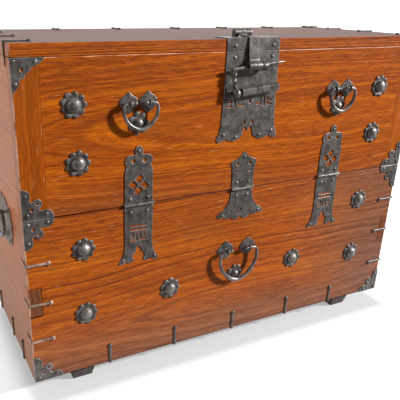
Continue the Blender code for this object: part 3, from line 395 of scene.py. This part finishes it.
def finishes(look):
    """Every material of the chest, made once and found by name afterwards."""
    deep = look.wood_deep
    recipes = {
        "zelkova_door": (zelkova, dict(run=ALONG_X, heart=(0.30, 0.575), seed=3.1,
                                       film=(0.40, 0.33, 0.50, 0.0))),
        "zelkova_left_clamp": (zelkova, dict(run=ALONG_Z, heart=(0.55, -0.56), seed=7.7, gain=0.80,
                                             calm=0.35)),
        "zelkova_right_clamp": (zelkova, dict(run=ALONG_Z, heart=(0.55, 0.56), seed=9.2, gain=0.84,
                                              calm=0.35)),
        "zelkova_front": (zelkova, dict(run=ALONG_X, heart=(0.10, 0.13), seed=5.4, gain=0.98, polish=1.21,
                                        film=(0.80, 0.02, 0.20, 1.0))),
        "zelkova_top": (zelkova, dict(run=ALONG_X_FLAT, heart=(0.20, 0.05), seed=1.3, gain=0.97, polish=1.17,
                                      dust_and_sheen=0.85)),
        # The left side is made paler, a painted sheen
        "zelkova_left_side": (zelkova, dict(run=ALONG_Y, heart=(0.05, 0.30), seed=2.2, gain=1.12, warm=0.9,
                                            film=(0.75, 0.0, 0.42, 0.0))),
        "zelkova_right_side": (zelkova, dict(run=ALONG_Y, heart=(0.02, 0.45), seed=4.6, gain=0.95,
                                             warm=0.9)),
        "zelkova_back": (zelkova, dict(run=ALONG_X, heart=(-0.20, 0.30), seed=6.5, gain=0.80)),
        "zelkova_bottom": (zelkova, dict(run=ALONG_X_FLAT, heart=(0.10, 0.0), seed=8.3, gain=0.75)),
        "worn_corner": (worn_corner, dict(under=look.wood_mid, tint=look.wood_worn, dark=shade(deep, 2.0))),
        # Painted shade: a dark line on the lower front's edges, along the seam under the door and in its joints
        "grimy_edge": (worn_corner, dict(under=shade(deep, 0.4), tint=shade(deep, 0.25),
                                         dark=shade(deep, 0.6), turned=0.9)),
        "blackened_runner": (blackened_runner, {}),
        "blackened_iron": (forged_iron, {}),
        "rubbed_iron": (forged_iron, dict(gain=4.0, brown=0.20, rough=0.36, worn=0.5)),
        "bail_iron": (forged_iron, dict(gain=1.7, brown=0.25, rough=0.32, worn=0.25)),
        "boss_iron": (forged_iron, dict(gain=1.1, brown=0.40, rough=0.46, worn=0.35)),
        "dome_iron": (forged_iron, dict(gain=2.1, brown=0.30, rough=0.40, worn=0.35)),
        "barrel_iron": (forged_iron, dict(gain=1.45, brown=0.30, rough=0.28, worn=0.25)),
        "staple_iron": (forged_iron, dict(brown=0.25, rough=0.40, worn=0.15, metal=look.copper)),
        "russet_iron": (forged_iron, dict(gain=0.62, brown=0.30, rough=0.50, worn=0.10, metal=look.copper,
                                          mottle=0.45)),
    }
    return {name: bpy.data.materials.get(name) or make(name, look, **values)
            for name, (make, values) in recipes.items()}


# Making and dressing pieces

SHARP_EDGE = math.radians(34)    # edges of the frame's pieces that turn more than this are rounded


def piece(name, bm, body, material, sharp=35.0):
    """A new piece that rides on a body of the frame."""
    bmesh.ops.recalc_face_normals(bm, faces=bm.faces)
    mesh = bpy.data.meshes.new(name)
    bm.to_mesh(mesh)
    bm.free()
    mesh.shade_smooth()
    mesh.set_sharp_from_angle(angle=math.radians(sharp))
    obj = bpy.data.objects.new(name, mesh)
    bpy.context.scene.collection.objects.link(obj)
    mesh.materials.append(material)
    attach(obj, body)
    return obj


def round_edges(obj, name, width, segments, slot):
    bevel = obj.modifiers.new(name, "BEVEL")
    bevel.width = width
    bevel.segments = segments
    bevel.use_clamp_overlap = False
    bevel.material = slot
    return bevel


def at_left_corner(place):
    return place.y < FRONT_Y + MM and place.x < MM - HALF


def at_right_corner(place):
    return place.y < FRONT_Y + MM and place.x > HALF - MM


def at_door_crest(place):
    return place.y < FRONT_Y + MM and place.z > DOOR_TOP - MM


def dress(node, face, edge, width, worn=None, worn_width=0.0, places=()):
    """Finish a piece of the frame, with rounded edges that take a finish of their own.

    The edges between points that pass one of the tests in places are rounded more and take the worn finish.
    """
    obj = NODES[node]
    obj.data.materials.clear()
    for finish in (face, edge, worn or edge):
        obj.data.materials.append(finish)
    obj.modifiers.new("weld", "WELD").merge_threshold = 1e-5
    for test in places:
        group = obj.vertex_groups.new(name=test.__name__)
        group.add([v.index for v in obj.data.vertices if test(v.co)], 1.0, "REPLACE")
        bevel = round_edges(obj, group.name, worn_width, segments=3, slot=2)
        bevel.limit_method = "VGROUP"
        bevel.vertex_group = group.name
    bevel = round_edges(obj, "edges", width, segments=2, slot=1)
    bevel.limit_method = "ANGLE"
    bevel.angle_limit = SHARP_EDGE
    obj.modifiers.new("shading", "WEIGHTED_NORMAL").keep_sharp = False


def turns(count):
    """Angles of even steps round a circle."""
    return [2 * math.pi * i / count for i in range(count)]


def skin(bm, rings):
    """Faces between rings of points, closed at both ends."""
    loops = [[bm.verts.new(p) for p in ring] for ring in rings]
    for near, far in zip(loops, loops[1:]):
        for k in range(len(near)):
            bm.faces.new((near[k - 1], near[k], far[k], far[k - 1]))
    bm.faces.new(loops[0])
    bm.faces.new(loops[-1][::-1])


def sweep(bm, path, radii, axis, sides=14):
    """Bar along a flat path; a pair of radii is across the bar in the path's plane, and along the axis."""
    rings = []
    for i, (point, (wide, deep)) in enumerate(zip(path, radii)):
        run = (path[min(i + 1, len(path) - 1)] - path[max(i - 1, 0)]).normalized()
        lift = axis.cross(run)
        rings.append([point + lift * (wide * math.cos(t)) + axis * (deep * math.sin(t))
                      for t in turns(sides)])
    skin(bm, rings)


def hammer(bm, depth, scale, seed):
    """Uneven forged surface."""
    bm.normal_update()
    shift = Vector((seed * 1.37, seed * 0.71, seed * 2.13))
    for vert, normal in [(v, v.normal.copy()) for v in bm.verts]:
        vert.co += normal * (depth * noise.noise(vert.co * scale + shift))


def smooth_path(points, steps):
    """Points on a curve through the given ones."""
    ends = [2 * points[0] - points[1]] + list(points) + [2 * points[-1] - points[-2]]
    path = []
    for a, b, c, d in zip(ends, ends[1:], ends[2:], ends[3:]):
        for k in range(steps):
            t = k / steps
            path.append(0.5 * (2 * b + (c - a) * t + (2 * a - 5 * b + 4 * c - d) * t ** 2
                               + (3 * b - a - 3 * c + d) * t ** 3))
    return path + [points[-1]]


def nail_head(bm, centre, out, radius, height, sides=10):
    """Forged nail head: a low dome, a little askew."""
    across = out.orthogonal().normalized()
    up = out.cross(across)
    lean = noise.noise(centre * 300) * 0.18
    profile = ((1.0, -0.25), (1.02, 0.20), (0.86, 0.62), (0.52, 0.93), (0.16, 1.0))
    rings = []
    for share, rise in profile:
        ring = []
        for k, t in enumerate(turns(sides)):
            r = radius * share * (1 + 0.10 * noise.noise(centre * 500 + Vector((k, 0, 0)) * 0.9))
            h = height * (rise + lean * share * math.cos(t))
            ring.append(centre + across * (r * math.cos(t)) + up * (r * math.sin(t)) + out * h)
        rings.append(ring)
    skin(bm, rings)


# Bosses and strikers

# Petals, radius and height of the dome in mm, and depth of the notches as a share of the washer
BOSS = (9, 13.8, 10.5, 0.24)
STRIKER = (7, 8.8, 7.5, 0.34)
WASHER = 1.6 * MM
PETAL_SWELL = 1.7 * MM
STEPS_PER_PETAL = 12
DOME_LIFTS = [math.radians(angle) for angle in range(0, 88, 8)]


def petal_boss(bm, node, petals, dome_r, dome_h, notch, seed):
    """A hammered dome on a petalled washer, in the place of the node."""
    lo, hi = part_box(node)
    centre = middle(node)
    wide, tall = (hi.x - lo.x) / 2, (hi.z - lo.z) / 2
    count = petals * STEPS_PER_PETAL

    def lobe(t):
        return abs(math.cos(petals / 2 * t))

    def rim(t):
        tip = round(t * petals / (2 * math.pi)) % petals
        reach = 1 - 0.10 * abs(noise.noise(Vector((seed * 3.7, tip * 1.9, 0.8))))
        return reach * (1 - notch * (1 - lobe(t) ** 0.85))

    # Share of the way from the dome to the rim, share of the washer's thickness, share of the swell
    profile = [(0.97, 0.0, 0.0), (1.0, 0.45, 0.0), (0.96, 0.95, 0.0), (0.86, 1.0, 0.55), (0.70, 1.0, 1.0),
               (0.50, 1.0, 0.85), (0.28, 1.0, 0.40), (0.10, 0.95, 0.05), (0.0, 0.90, 0.0)]
    foot = dome_r * 1.10
    rings = []
    for share, level, crown in profile:
        ring = []
        for t in turns(count):
            reach = foot + (wide * rim(t) - foot) * share
            swell = crown * (0.25 + 0.75 * lobe(t)) * PETAL_SWELL
            ring.append(Vector((centre.x + reach * math.cos(t), hi.y - WASHER * level - swell,
                                centre.z + reach * math.sin(t) * tall / wide)))
        rings.append(ring)
    for lift in DOME_LIFTS:
        r, h = dome_r * math.cos(lift), dome_h * math.sin(lift)
        rings.append([Vector((centre.x + r * math.cos(t), hi.y - WASHER - h, centre.z + r * math.sin(t)))
                      for t in turns(count)])
    skin(bm, rings)
    for face in bm.faces:
        spot = face.calc_center_median() - centre
        face.material_index = int(math.hypot(spot.x, spot.z) < dome_r)
    hammer(bm, depth=0.45 * MM, scale=150.0, seed=seed)


class CHEST_OT_bosses(Operator):
    """Forge the petalled bosses of the front and the strikers under its bails"""

    bl_idname = "chest.bosses"
    bl_label = "Bosses and strikers"

    def execute(self, context):
        iron = finishes(context.scene.chest_finish)
        bosses = sorted(n for n in NODES if n.endswith("_boss"))
        strikers = sorted(n for n in NODES if n.endswith("_striker"))
        for seed, node in enumerate(bosses + strikers):
            bm = bmesh.new()
            petals, dome_r, dome_h, notch = BOSS if node in bosses else STRIKER
            petal_boss(bm, node, petals, dome_r * MM, dome_h * MM, notch, seed + 1)
            obj = piece(f"{node}_forged", bm, BODY_OF[node], iron["boss_iron"], 40.0)
            obj.data.materials.append(iron["dome_iron"])
            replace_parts(obj, node)
        return {"FINISHED"}


# Bails

# Node of each bail: half distance of its eyes and radius of its wire, in mm
BAILS = {"door_left_handle_bail": (21.0, 3.7), "door_right_handle_bail": (21.0, 3.7),
         "front_handle_bail": (31.0, 4.0),
         "left_handle_bail": (52.0, 4.5), "right_handle_bail": (52.0, 4.5)}
BEAD_R = 4.6 * MM
EYE_W = 6.0 * MM
BEAD_GAP = 1.6 * MM    # between an eye and the bead
EYE_PLAY = 0.6 * MM    # straight wire beyond an eye

# Profile of a bead: distance from its end as a share of its radius, and thickness as a share of it
BEAD = ((0.0, 0.18), (0.12, 0.50), (0.45, 0.84), (1.0, 1.0), (1.55, 0.84), (1.9, 0.60))

# Right half of a bail below its eyes: shares of the half width and of the drop
BOW = ((0.90, -0.035), (0.985, -0.16), (1.0, -0.30), (0.95, -0.46), (0.82, -0.64), (0.62, -0.80),
       (0.38, -0.92), (0.15, -0.985), (0.0, -1.0))


def forge_bail(node, eye, wire, material):
    """A bail through its two eyes, with a bead at each end and its thickest place at the bottom."""
    lo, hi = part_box(node)
    body = BODY_OF[node]
    axis_at = AXIS_OF[body]
    on_side = abs(axis_at.x) > HALF
    drop = axis_at.z - lo.z - wire * 1.18
    half = ((hi.y - lo.y) if on_side else (hi.x - lo.x)) / 2 - wire
    run, out = (OUT_BACK, OUT_RIGHT if axis_at.x > 0 else OUT_LEFT) if on_side else (OUT_RIGHT, OUT_FRONT)
    inner = eye - EYE_W / 2 - BEAD_GAP
    start = inner - 2 * BEAD_R
    straight = [(inner + EYE_PLAY, 0.0), (eye, 0.0), (eye + EYE_W / 2 + EYE_PLAY, 0.0)]
    bow = [(a * half, u * drop) for a, u in BOW]
    right = smooth_path([Vector(p) for p in straight + bow], 4)
    path = [Vector((start + a * BEAD_R, 0.0)) for a, _ in BEAD] + right
    thick = [share * BEAD_R for _, share in BEAD]
    thick += [wire * (0.78 + 0.40 * max(0.0, -p.y / drop) ** 0.8) for p in right]
    path += [Vector((-p.x, p.y)) for p in path[-2::-1]]
    thick += thick[-2::-1]
    bm = bmesh.new()
    sweep(bm, [axis_at + run * p.x + OUT_TOP * p.y for p in path], [(r, r) for r in thick], out)
    hammer(bm, depth=0.30 * MM, scale=160.0, seed=half * 100)
    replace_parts(piece(f"{node}_forged", bm, body, material), node)


class CHEST_OT_bails(Operator):
    """Forge the five swinging handles"""

    bl_idname = "chest.bails"
    bl_label = "Bails"

    def execute(self, context):
        iron = finishes(context.scene.chest_finish)["bail_iron"]
        for node, (eye, wire) in BAILS.items():
            forge_bail(node, eye * MM, wire * MM, iron)
        return {"FINISHED"}


# Boards

# Node of each board: its finish, and the tests of the edges that are worn
CORNERS = (at_left_corner, at_right_corner)
BOARDS = {"top_panel": ("zelkova_top", CORNERS),
          "left_side_panel": ("zelkova_left_side", CORNERS),
          "right_side_panel": ("zelkova_right_side", CORNERS),
          "back_panel": ("zelkova_back", ()),
          "bottom_panel": ("zelkova_bottom", ()),
          "lower_front_panel": ("zelkova_front", CORNERS),
          "door_panel": ("zelkova_door", (at_door_crest,)),
          "door_left_clamp": ("zelkova_left_clamp", CORNERS),
          "door_right_clamp": ("zelkova_right_clamp", CORNERS)}
RUNNERS = ("left_runner", "right_runner")
RUNNER_EDGE = 3.0 * MM


class CHEST_OT_boards(Operator):
    """Oil the boards and blacken the runners"""

    bl_idname = "chest.boards"
    bl_label = "Boards"

    def execute(self, context):
        look = context.scene.chest_finish
        made = finishes(look)
        worn = made["worn_corner"]
        for node, (name, places) in BOARDS.items():
            edge, width, worn_width = made[name], look.board_edge, look.corner_edge
            # The lower front's edges are painted dark as the shade of the seam under the door
            if node == "lower_front_panel":
                edge, width = made["grimy_edge"], look.seam
            elif node.startswith("door"):
                width = look.joint_edge
            if at_door_crest in places:
                worn_width = look.crest_edge
            dress(node, made[name], edge, width, worn, worn_width, places)
        for node in RUNNERS:
            black = made["blackened_runner"]
            dress(node, black, black, RUNNER_EDGE)
        return {"FINISHED"}


# Plates, hinges and lock

LOCK_WORK = ("hasp", "hasp_pin", "padlock_bolt", "padlock_body")


class CHEST_OT_plates(Operator):
    """Finish the hinges, plates, posts and lock, with rubbed edges"""

    bl_idname = "chest.plates"
    bl_label = "Iron plates"

    def execute(self, context):
        look = context.scene.chest_finish
        made = finishes(look)
        replaced = {n for n in NODES if NODES[n].hide_render}
        wooden = {*BOARDS, *RUNNERS}
        for node in sorted(set(NODES) - wooden - replaced):
            # The side handle back plates are rust brown made pale by a painted sheen
            face = "russet_iron" if node.endswith("handle_back_plate") else "blackened_iron"
            if node in ("hasp_pin", "padlock_bolt"):
                face = "barrel_iron"
            edge = "bail_iron" if node in LOCK_WORK else "rubbed_iron"
            dress(node, made[face], made[edge], look.plate_edge)
        return {"FINISHED"}


# Nails, in mm from each fitting's own reference point

BIG_HINGE_NAILS = {"upper_leaf": [(-20, 12.5), (20, 12.5), (0, 113)],
                   "lower_leaf": [(-19, -17), (19, -17), (-37, -126), (37, -126)]}
CENTRE_HINGE_NAILS = {"upper_leaf": [(-16, 15), (16, 15), (0, 74)],
                      "lower_leaf": [(-15, -17), (15, -17), (-50, -60), (50, -60)]}
LOCK_PLATE_NAILS = [(-46, -13), (49, -12.5), (-63, -173), (63, -173), (-31, -180), (31, -180)]
LOCK_TOP_NAILS = [(-46, 10), (49, 10.5)]
SERRATED_NAILS = [(6.0, 6.0), (44, 6.5), (6.5, 44)]
CURLED_NAILS = [(10, 9), (48, 8.5), (8.5, 48)]
BACK_PLATE_NAILS = [(-87, 0), (87, 0), (-70, 35), (70, 35), (-70, -35), (70, -35)]


def nail_places():
    """Centre, direction and node of every nail."""
    face = FRONT_Y - PLATE_OUT
    for side in ("left", "centre", "right"):
        x = middle(f"{side}_hinge_pin").x
        rows = CENTRE_HINGE_NAILS if side == "centre" else BIG_HINGE_NAILS
        for leaf, places in rows.items():
            for a, u in places:
                yield Vector((x + a * MM, face, SPLIT_Z + u * MM)), OUT_FRONT, f"{side}_hinge_{leaf}"
    lock_x = middle("lock_top_plate").x
    for node, places in (("lock_plate", LOCK_PLATE_NAILS), ("lock_top_plate", LOCK_TOP_NAILS)):
        for a, u in places:
            yield Vector((lock_x + a * MM, face, UNDER_TOP_Z + u * MM)), OUT_FRONT, node
    for node in sorted(n for n in NODES if n.endswith("corner_plate")):
        lo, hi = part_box(node)
        inward = 1 if "left" in node else -1
        rise = -1 if "upper" in node else 1
        corner = Vector((lo.x if inward > 0 else hi.x, face, hi.z if rise < 0 else lo.z))
        for a, u in SERRATED_NAILS if node.startswith("door_upper") else CURLED_NAILS:
            yield corner + Vector((inward * a * MM, 0, rise * u * MM)), OUT_FRONT, node
    for side, out in (("left", OUT_LEFT), ("right", OUT_RIGHT)):
        node = f"{side}_handle_back_plate"
        plate = middle(node)
        for a, u in BACK_PLATE_NAILS:
            yield Vector((out.x * (HALF + PLATE_OUT), plate.y + a * MM, plate.z + u * MM)), out, node


class CHEST_OT_nails(Operator):
    """Drive the nails of every plate"""

    bl_idname = "chest.nails"
    bl_label = "Nails"

    def execute(self, context):
        sizes = context.scene.chest_fittings
        iron = finishes(context.scene.chest_finish)["barrel_iron"]
        groups = defaultdict(bmesh.new)
        for centre, out, node in nail_places():
            nail_head(groups[node], centre, out, sizes.nail_radius, sizes.nail_height)
        for node, bm in groups.items():
            piece(f"{node}_nails", bm, BODY_OF[node], iron, 50.0)
        return {"FINISHED"}


# Staples over the corners of the carcass

STAPLE_BEND = 2.0 * MM
STAPLE_TAPER = 0.62    # share of the bar where its taper starts


def staple(bm, corner, face, turned, sizes):
    """Bar bent over an edge: a leg runs inwards on each face, the first to a head, the other to a point.

    face and turned point out of the two faces that meet at the corner.
    """
    axis = face.cross(turned).normalized()
    lift = sizes.staple_thick * 0.38
    leg = sizes.staple_leg
    bend = STAPLE_BEND
    spots = [-turned * leg, -turned * (leg * 0.6), -turned * bend * 2]
    path = [corner + s + face * lift for s in spots]
    path += [corner + (face + turned) * (lift - bend * 0.3) + (face - turned) * bend * 0.4,
             corner + (face + turned) * (lift - bend * 0.3) + (turned - face) * bend * 0.4]
    path += [corner - face * d + turned * (lift * up) for d, up in
             ((bend * 2, 1.0), (leg * 0.5, 1.0), (leg * 0.85, 0.7), (leg, -0.4))]
    path = smooth_path(path, 3)
    wide, thick = sizes.staple_width / 2, sizes.staple_thick / 2
    radii = []
    for i in range(len(path)):
        share = i / (len(path) - 1)
        taper = 1.0 if share < STAPLE_TAPER else max(0.22, 1 - 2.0 * (share - STAPLE_TAPER))
        radii.append((thick * taper, wide * taper))
    sweep(bm, path, radii, axis, sides=12)
    nail_head(bm, corner - turned * leg + face * (lift * 0.8), face, sizes.staple_width * 0.86,
              sizes.staple_thick * 0.95)


# Places of the staples, in mm
STAPLES_LEFT_Z = (317, 226, 139)          # front left corner, above the floor
STAPLES_RIGHT_Z = (319, 227, 131)
STAPLES_FOOT_X = (-326, -160, 4, 173, 322)
STAPLES_SIDE_BEHIND = (96, 200, 341)      # foot of the sides, behind the front face
STAPLES_BACK_X = (-461, -308, -153, 14, 159, 312, 461)
STAPLES_TOP_BEHIND = (34, 162, 277, 377)  # ends of the top, behind the front face


def staple_places():
    """Group, corner and the two face directions of every staple."""
    for name, x, out, heights in (("front_left_staples", -HALF, OUT_LEFT, STAPLES_LEFT_Z),
                                  ("front_right_staples", HALF, OUT_RIGHT, STAPLES_RIGHT_Z)):
        for z in heights:
            yield name, Vector((x, FRONT_Y, z * MM)), OUT_FRONT, out
    for x in STAPLES_FOOT_X:
        yield "front_foot_staples", Vector((x * MM, FRONT_Y, FOOT_Z)), OUT_FRONT, OUT_BOTTOM
    for name, x, out in (("left_foot_staples", -HALF, OUT_LEFT), ("right_foot_staples", HALF, OUT_RIGHT)):
        for behind in STAPLES_SIDE_BEHIND:
            yield name, Vector((x, FRONT_Y + behind * MM, FOOT_Z)), out, OUT_BOTTOM
    for x in STAPLES_BACK_X:
        yield "top_back_staples", Vector((x * MM, BACK_Y, TOP_Z)), OUT_TOP, OUT_BACK
    for name, x, out in (("top_left_staples", -HALF, OUT_LEFT), ("top_right_staples", HALF, OUT_RIGHT)):
        for behind in STAPLES_TOP_BEHIND:
            yield name, Vector((x, FRONT_Y + behind * MM, TOP_Z)), OUT_TOP, out


class CHEST_OT_staples(Operator):
    """Bend the forged staples over the corners of the carcass"""

    bl_idname = "chest.staples"
    bl_label = "Staples"

    def execute(self, context):
        sizes = context.scene.chest_fittings
        iron = finishes(context.scene.chest_finish)
        groups = defaultdict(bmesh.new)
        for name, corner, face, turned in staple_places():
            staple(groups[name], corner, face, turned, sizes)
        for seed, (name, bm) in enumerate(groups.items()):
            hammer(bm, depth=0.25 * MM, scale=220.0, seed=seed)
            # The front left staples are pale as a painted highlight; the others are blackened
            tone = "staple_iron" if name == "front_left_staples" else "blackened_iron"
            piece(name, bm, "carcass", iron[tone], 45.0)
        return {"FINISHED"}


# Stage

IMAGE = 400                       # pixels of the square photograph
LENS_AXIS = (156.0, 217.4)        # where the camera's axis meets it
CAMERA_RIGHT = Vector((0.897873, -0.439936, 0.016729))
CAMERA_UP = Vector((0.151461, 0.344351, 0.926543))
# Name, place, size and tint of each lamp
LIGHTS = (("key", (10.6, -6.6, 6.2), 1.20, (1.0, 0.995, 0.985)),
          ("fill", (-2.6, -0.7, 1.7), 1.0, (1.0, 1.0, 1.0)),
          ("above", (0.0, 1.2, 2.9), 2.6, (1.0, 1.0, 1.0)))
LIGHTS_AIM = Vector((0.0, 0.0, 0.35))


def pale_floor():
    """Floor that curves up far behind the chest, and is dark where the chest stands on it: a painted contact
    shadow.
    """
    bm = bmesh.new()
    radius, near, far, half, height = 2.0, -14.0, 4.0, 16.0, 6.0
    profile = [(near, 0.0), (far, 0.0)]
    profile += [(far + radius * math.sin(t), radius * (1 - math.cos(t))) for t in
                (math.radians(10 * k) for k in range(1, 10))]
    profile.append((far + radius, height))
    rows = [[bm.verts.new((x, y, z)) for x in (-half, half)] for y, z in profile]
    for (a, b), (c, d) in zip(rows, rows[1:]):
        bm.faces.new((a, b, d, c))
    mesh = bpy.data.meshes.new("floor")
    bm.to_mesh(mesh)
    bm.free()
    mesh.shade_smooth()
    floor = bpy.data.objects.new("floor", mesh)
    floor.location.z = -0.3 * MM
    bpy.context.scene.collection.objects.link(floor)
    f = Finish(new_material("pale_floor"))
    place = f.add("TexCoord", output="Object")
    mottle = f.noise(place, 3.0, 0.6, 6.0)
    xyz = f.add("SeparateXYZ", inputs={0: place})
    beside = (abs(xyz.out("X")) - HALF).math("MAXIMUM", 0.0)
    before = (abs(xyz.out("Y")) - BACK_Y).math("MAXIMUM", 0.0)
    # Painted contact shadow: darker and without glow close round the chest's footprint
    clear_of_painted_shadow = ((beside * beside + before * before) ** 0.5).step(-0.065, 0.055)
    grey = f.mix(clear_of_painted_shadow, FLOOR_PAINTED_SHADOW, f.mix(mottle, *FLOOR_GREYS))
    mesh.materials.append(f.surface({"Base Color": grey, "Roughness": 0.9, "Specular IOR Level": 0.1,
                                     "Emission Color": f.mix(clear_of_painted_shadow, BLACK, WHITE),
                                     "Emission Strength": 0.70}))


def white_room(scene, strength):
    """Even white light all round; the backdrop itself shows pure white."""
    world = bpy.data.worlds.new("white_room")
    world.use_nodes = True
    room = Finish(world)
    seen = room.add("LightPath", output="Is Camera Ray")
    room.connect(world.node_tree.nodes["Background"], {"Color": WHITE, "Strength": strength + seen})
    scene.world = world


def dark_card():
    """Dark card on the floor in front, unseen itself, so that the shadows of the front keep their depth."""
    bm = bmesh.new()
    left, right, near, far, level = -4.0, 5.0, -7.0, -0.42, 2 * MM
    corners = ((left, near), (right, near), (right, far), (left, far))
    bm.faces.new([bm.verts.new((x, y, level)) for x, y in corners])
    mesh = bpy.data.meshes.new("dark_card")
    bm.to_mesh(mesh)
    bm.free()
    card = bpy.data.objects.new("dark_card", mesh)
    bpy.context.scene.collection.objects.link(card)
    card_finish = Finish(new_material("dark_card"))
    mesh.materials.append(card_finish.surface({"Base Color": CARD_BROWN, "Roughness": 0.9}))
    card.visible_camera = card.visible_shadow = False


class CHEST_OT_stage(Operator):
    """Set the floor, the lights and the camera"""

    bl_idname = "chest.stage"
    bl_label = "Stage"

    def execute(self, context):
        stage = context.scene.chest_stage
        pale_floor()
        for name, place, size, tint in LIGHTS:
            lamp = bpy.data.lights.new(name, "AREA")
            lamp.energy = getattr(stage, name)
            lamp.size = size
            lamp.color = tint
            obj = bpy.data.objects.new(name, lamp)
            context.scene.collection.objects.link(obj)
            obj.location = place
            obj.rotation_euler = (LIGHTS_AIM - Vector(place)).to_track_quat("-Z", "Y").to_euler()
        white_room(context.scene, stage.room)
        dark_card()
        context.scene.view_settings.view_transform = "Standard"

        camera = bpy.data.cameras.new("camera")
        camera.lens = stage.lens
        camera.shift_x = (IMAGE / 2 - LENS_AXIS[0]) / IMAGE
        camera.shift_y = (LENS_AXIS[1] - IMAGE / 2) / IMAGE
        back = CAMERA_RIGHT.cross(CAMERA_UP)
        obj = bpy.data.objects.new("camera", camera)
        context.scene.collection.objects.link(obj)
        turn = Matrix((CAMERA_RIGHT, CAMERA_UP, back)).transposed().to_4x4()
        obj.matrix_world = Matrix.Translation(Vector(stage.eye)) @ turn
        context.scene.camera = obj
        return {"FINISHED"}


# Panel and registration

OPERATORS = (CHEST_OT_boards, CHEST_OT_bosses, CHEST_OT_bails, CHEST_OT_plates, CHEST_OT_nails,
             CHEST_OT_staples, CHEST_OT_stage)
GROUPS = {"chest_finish": ChestFinish, "chest_fittings": ChestFittings, "chest_stage": ChestStage}


class CHEST_PT_looks(Panel):
    """Steps and settings of the chest's looks"""

    bl_idname = "CHEST_PT_looks"
    bl_label = "Chest"
    bl_space_type = "VIEW_3D"
    bl_region_type = "UI"
    bl_category = "Chest"

    def draw(self, context):
        for group, kind in GROUPS.items():
            box = self.layout.box()
            for name in kind.__annotations__:
                box.prop(getattr(context.scene, group), name)
        for step in OPERATORS:
            self.layout.operator(step.bl_idname)


def register():
    for kind in (*GROUPS.values(), *OPERATORS, CHEST_PT_looks):
        bpy.utils.register_class(kind)
    for name, kind in GROUPS.items():
        setattr(bpy.types.Scene, name, PointerProperty(type=kind))


def unregister():
    for name in GROUPS:
        delattr(bpy.types.Scene, name)
    for kind in (CHEST_PT_looks, *reversed(OPERATORS), *reversed(GROUPS.values())):
        bpy.utils.unregister_class(kind)


def main():
    register()
    bpy.ops.chest.boards()
    bpy.ops.chest.bosses()
    bpy.ops.chest.bails()
    bpy.ops.chest.plates()
    bpy.ops.chest.nails()
    bpy.ops.chest.staples()
    bpy.ops.chest.stage()


if __name__ == "__main__":
    main()
